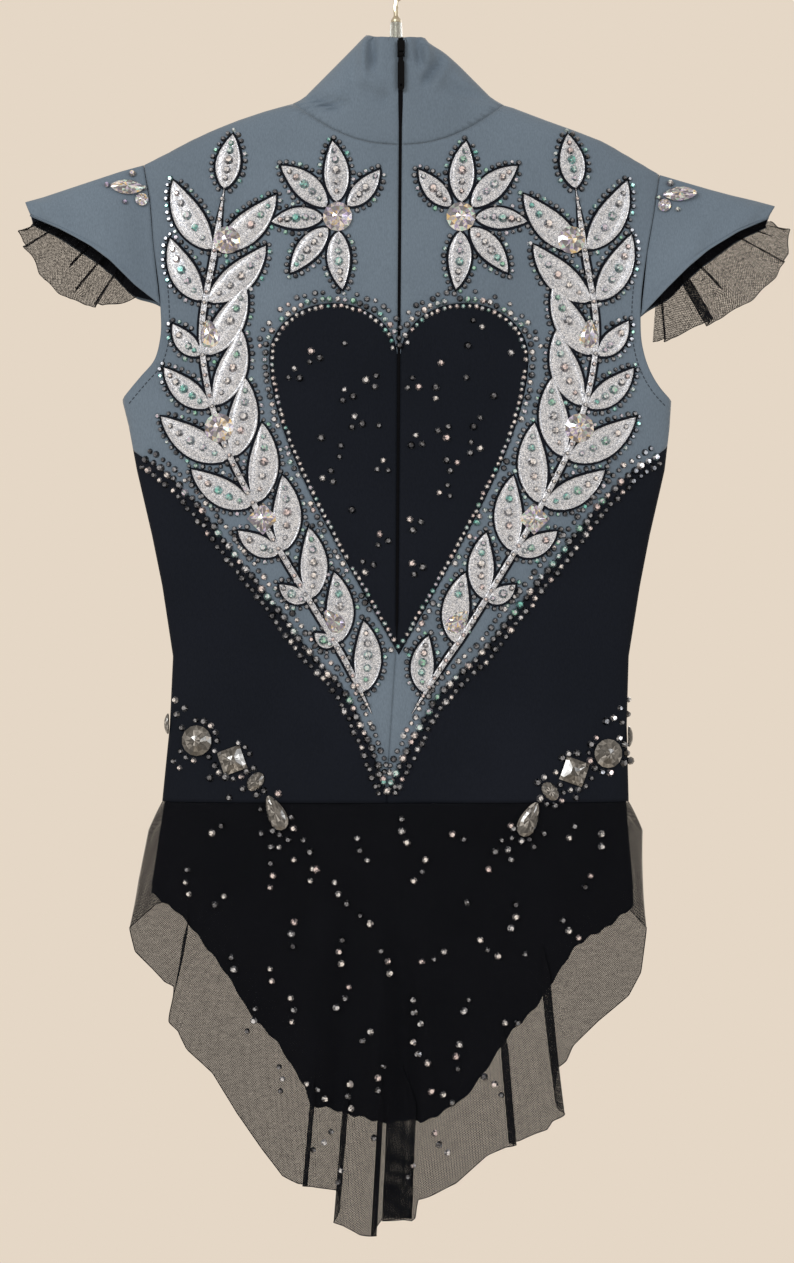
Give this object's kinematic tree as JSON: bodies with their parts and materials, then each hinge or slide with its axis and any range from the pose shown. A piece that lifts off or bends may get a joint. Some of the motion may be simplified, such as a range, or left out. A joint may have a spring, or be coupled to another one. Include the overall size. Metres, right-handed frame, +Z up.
{
  "type": "figure skating dress on a hanger",
  "caption": "Figure skating dress with flared cap sleeves, a grey yoke, black heart inset, crystal belts and pointed net skirt, hung flat on a clear hanger.",
  "frame": {"origin": "inside top of the hanger's hook, where it rests on its rail", "axes": "+Z up, -Y out of the dress's back, where the zip is, +X to the right of someone looking at that back"},
  "size_m": [0.4813, 0.0432, 0.8051],
  "materials": {
    "grey_cloth": "matt stretch jersey with a slight sheen",
    "black_cloth": "matt stretch jersey with a slight sheen",
    "black_net": "soft stretch net",
    "zip": "black coated",
    "dark_stone": "faceted, foiled, smoke grey",
    "clear_stone": "faceted, foiled, rainbow coated",
    "clear_plastic": "clear moulded",
    "hook_metal": "polished wire"
  },
  "bodies": {
    "dress": {"collar": "grey_cloth", "back_yoke_left": "grey_cloth", "back_yoke_right": "grey_cloth", "front_yoke": "grey_cloth", "sleeve_left": "grey_cloth", "sleeve_right": "grey_cloth", "heart_left": "black_cloth", "heart_right": "black_cloth", "back_side_left": "black_cloth", "back_side_right": "black_cloth", "front_body": "black_cloth", "sleeve_lining_left": "black_cloth", "sleeve_lining_right": "black_cloth", "underskirt_back": "black_cloth", "underskirt_front": "black_cloth", "briefs": "black_cloth", "frill_left": "black_net", "frill_right": "black_net", "net_skirt_back": "black_net", "net_skirt_front": "black_net", "zip_strip": "zip", "zip_slider": "zip", "belt_left_edge": "dark_stone", "belt_left_round": "dark_stone", "belt_left_square": "dark_stone", "belt_left_oval": "dark_stone", "belt_left_pear": "dark_stone", "belt_right_edge": "dark_stone", "belt_right_round": "dark_stone", "belt_right_square": "dark_stone", "belt_right_oval": "dark_stone", "belt_right_pear": "dark_stone", "neck_left_round": "clear_stone", "neck_right_round": "clear_stone", "spray_left_top": "clear_stone", "spray_left_high": "clear_stone", "spray_left_middle": "clear_stone", "spray_left_low": "clear_stone", "spray_left_foot": "clear_stone", "spray_right_top": "clear_stone", "spray_right_high": "clear_stone", "spray_right_middle": "clear_stone", "spray_right_low": "clear_stone", "spray_right_foot": "clear_stone", "sleeve_left_oval": "clear_stone", "sleeve_left_round": "clear_stone", "sleeve_right_oval": "clear_stone", "sleeve_right_round": "clear_stone", "hanger_body": "clear_plastic", "hanger_hook": "hook_metal"},
    "zip_tab": {"zip_tab": "zip"}
  },
  "joints": [
    {"name": "zip_tab_swing", "type": "hinge", "parent": "dress", "child": "zip_tab", "pos_m": [0.0031, -0.01708, -0.0762], "axis": [-1, 0, 0], "range_deg": [0, 140]}
  ]
}
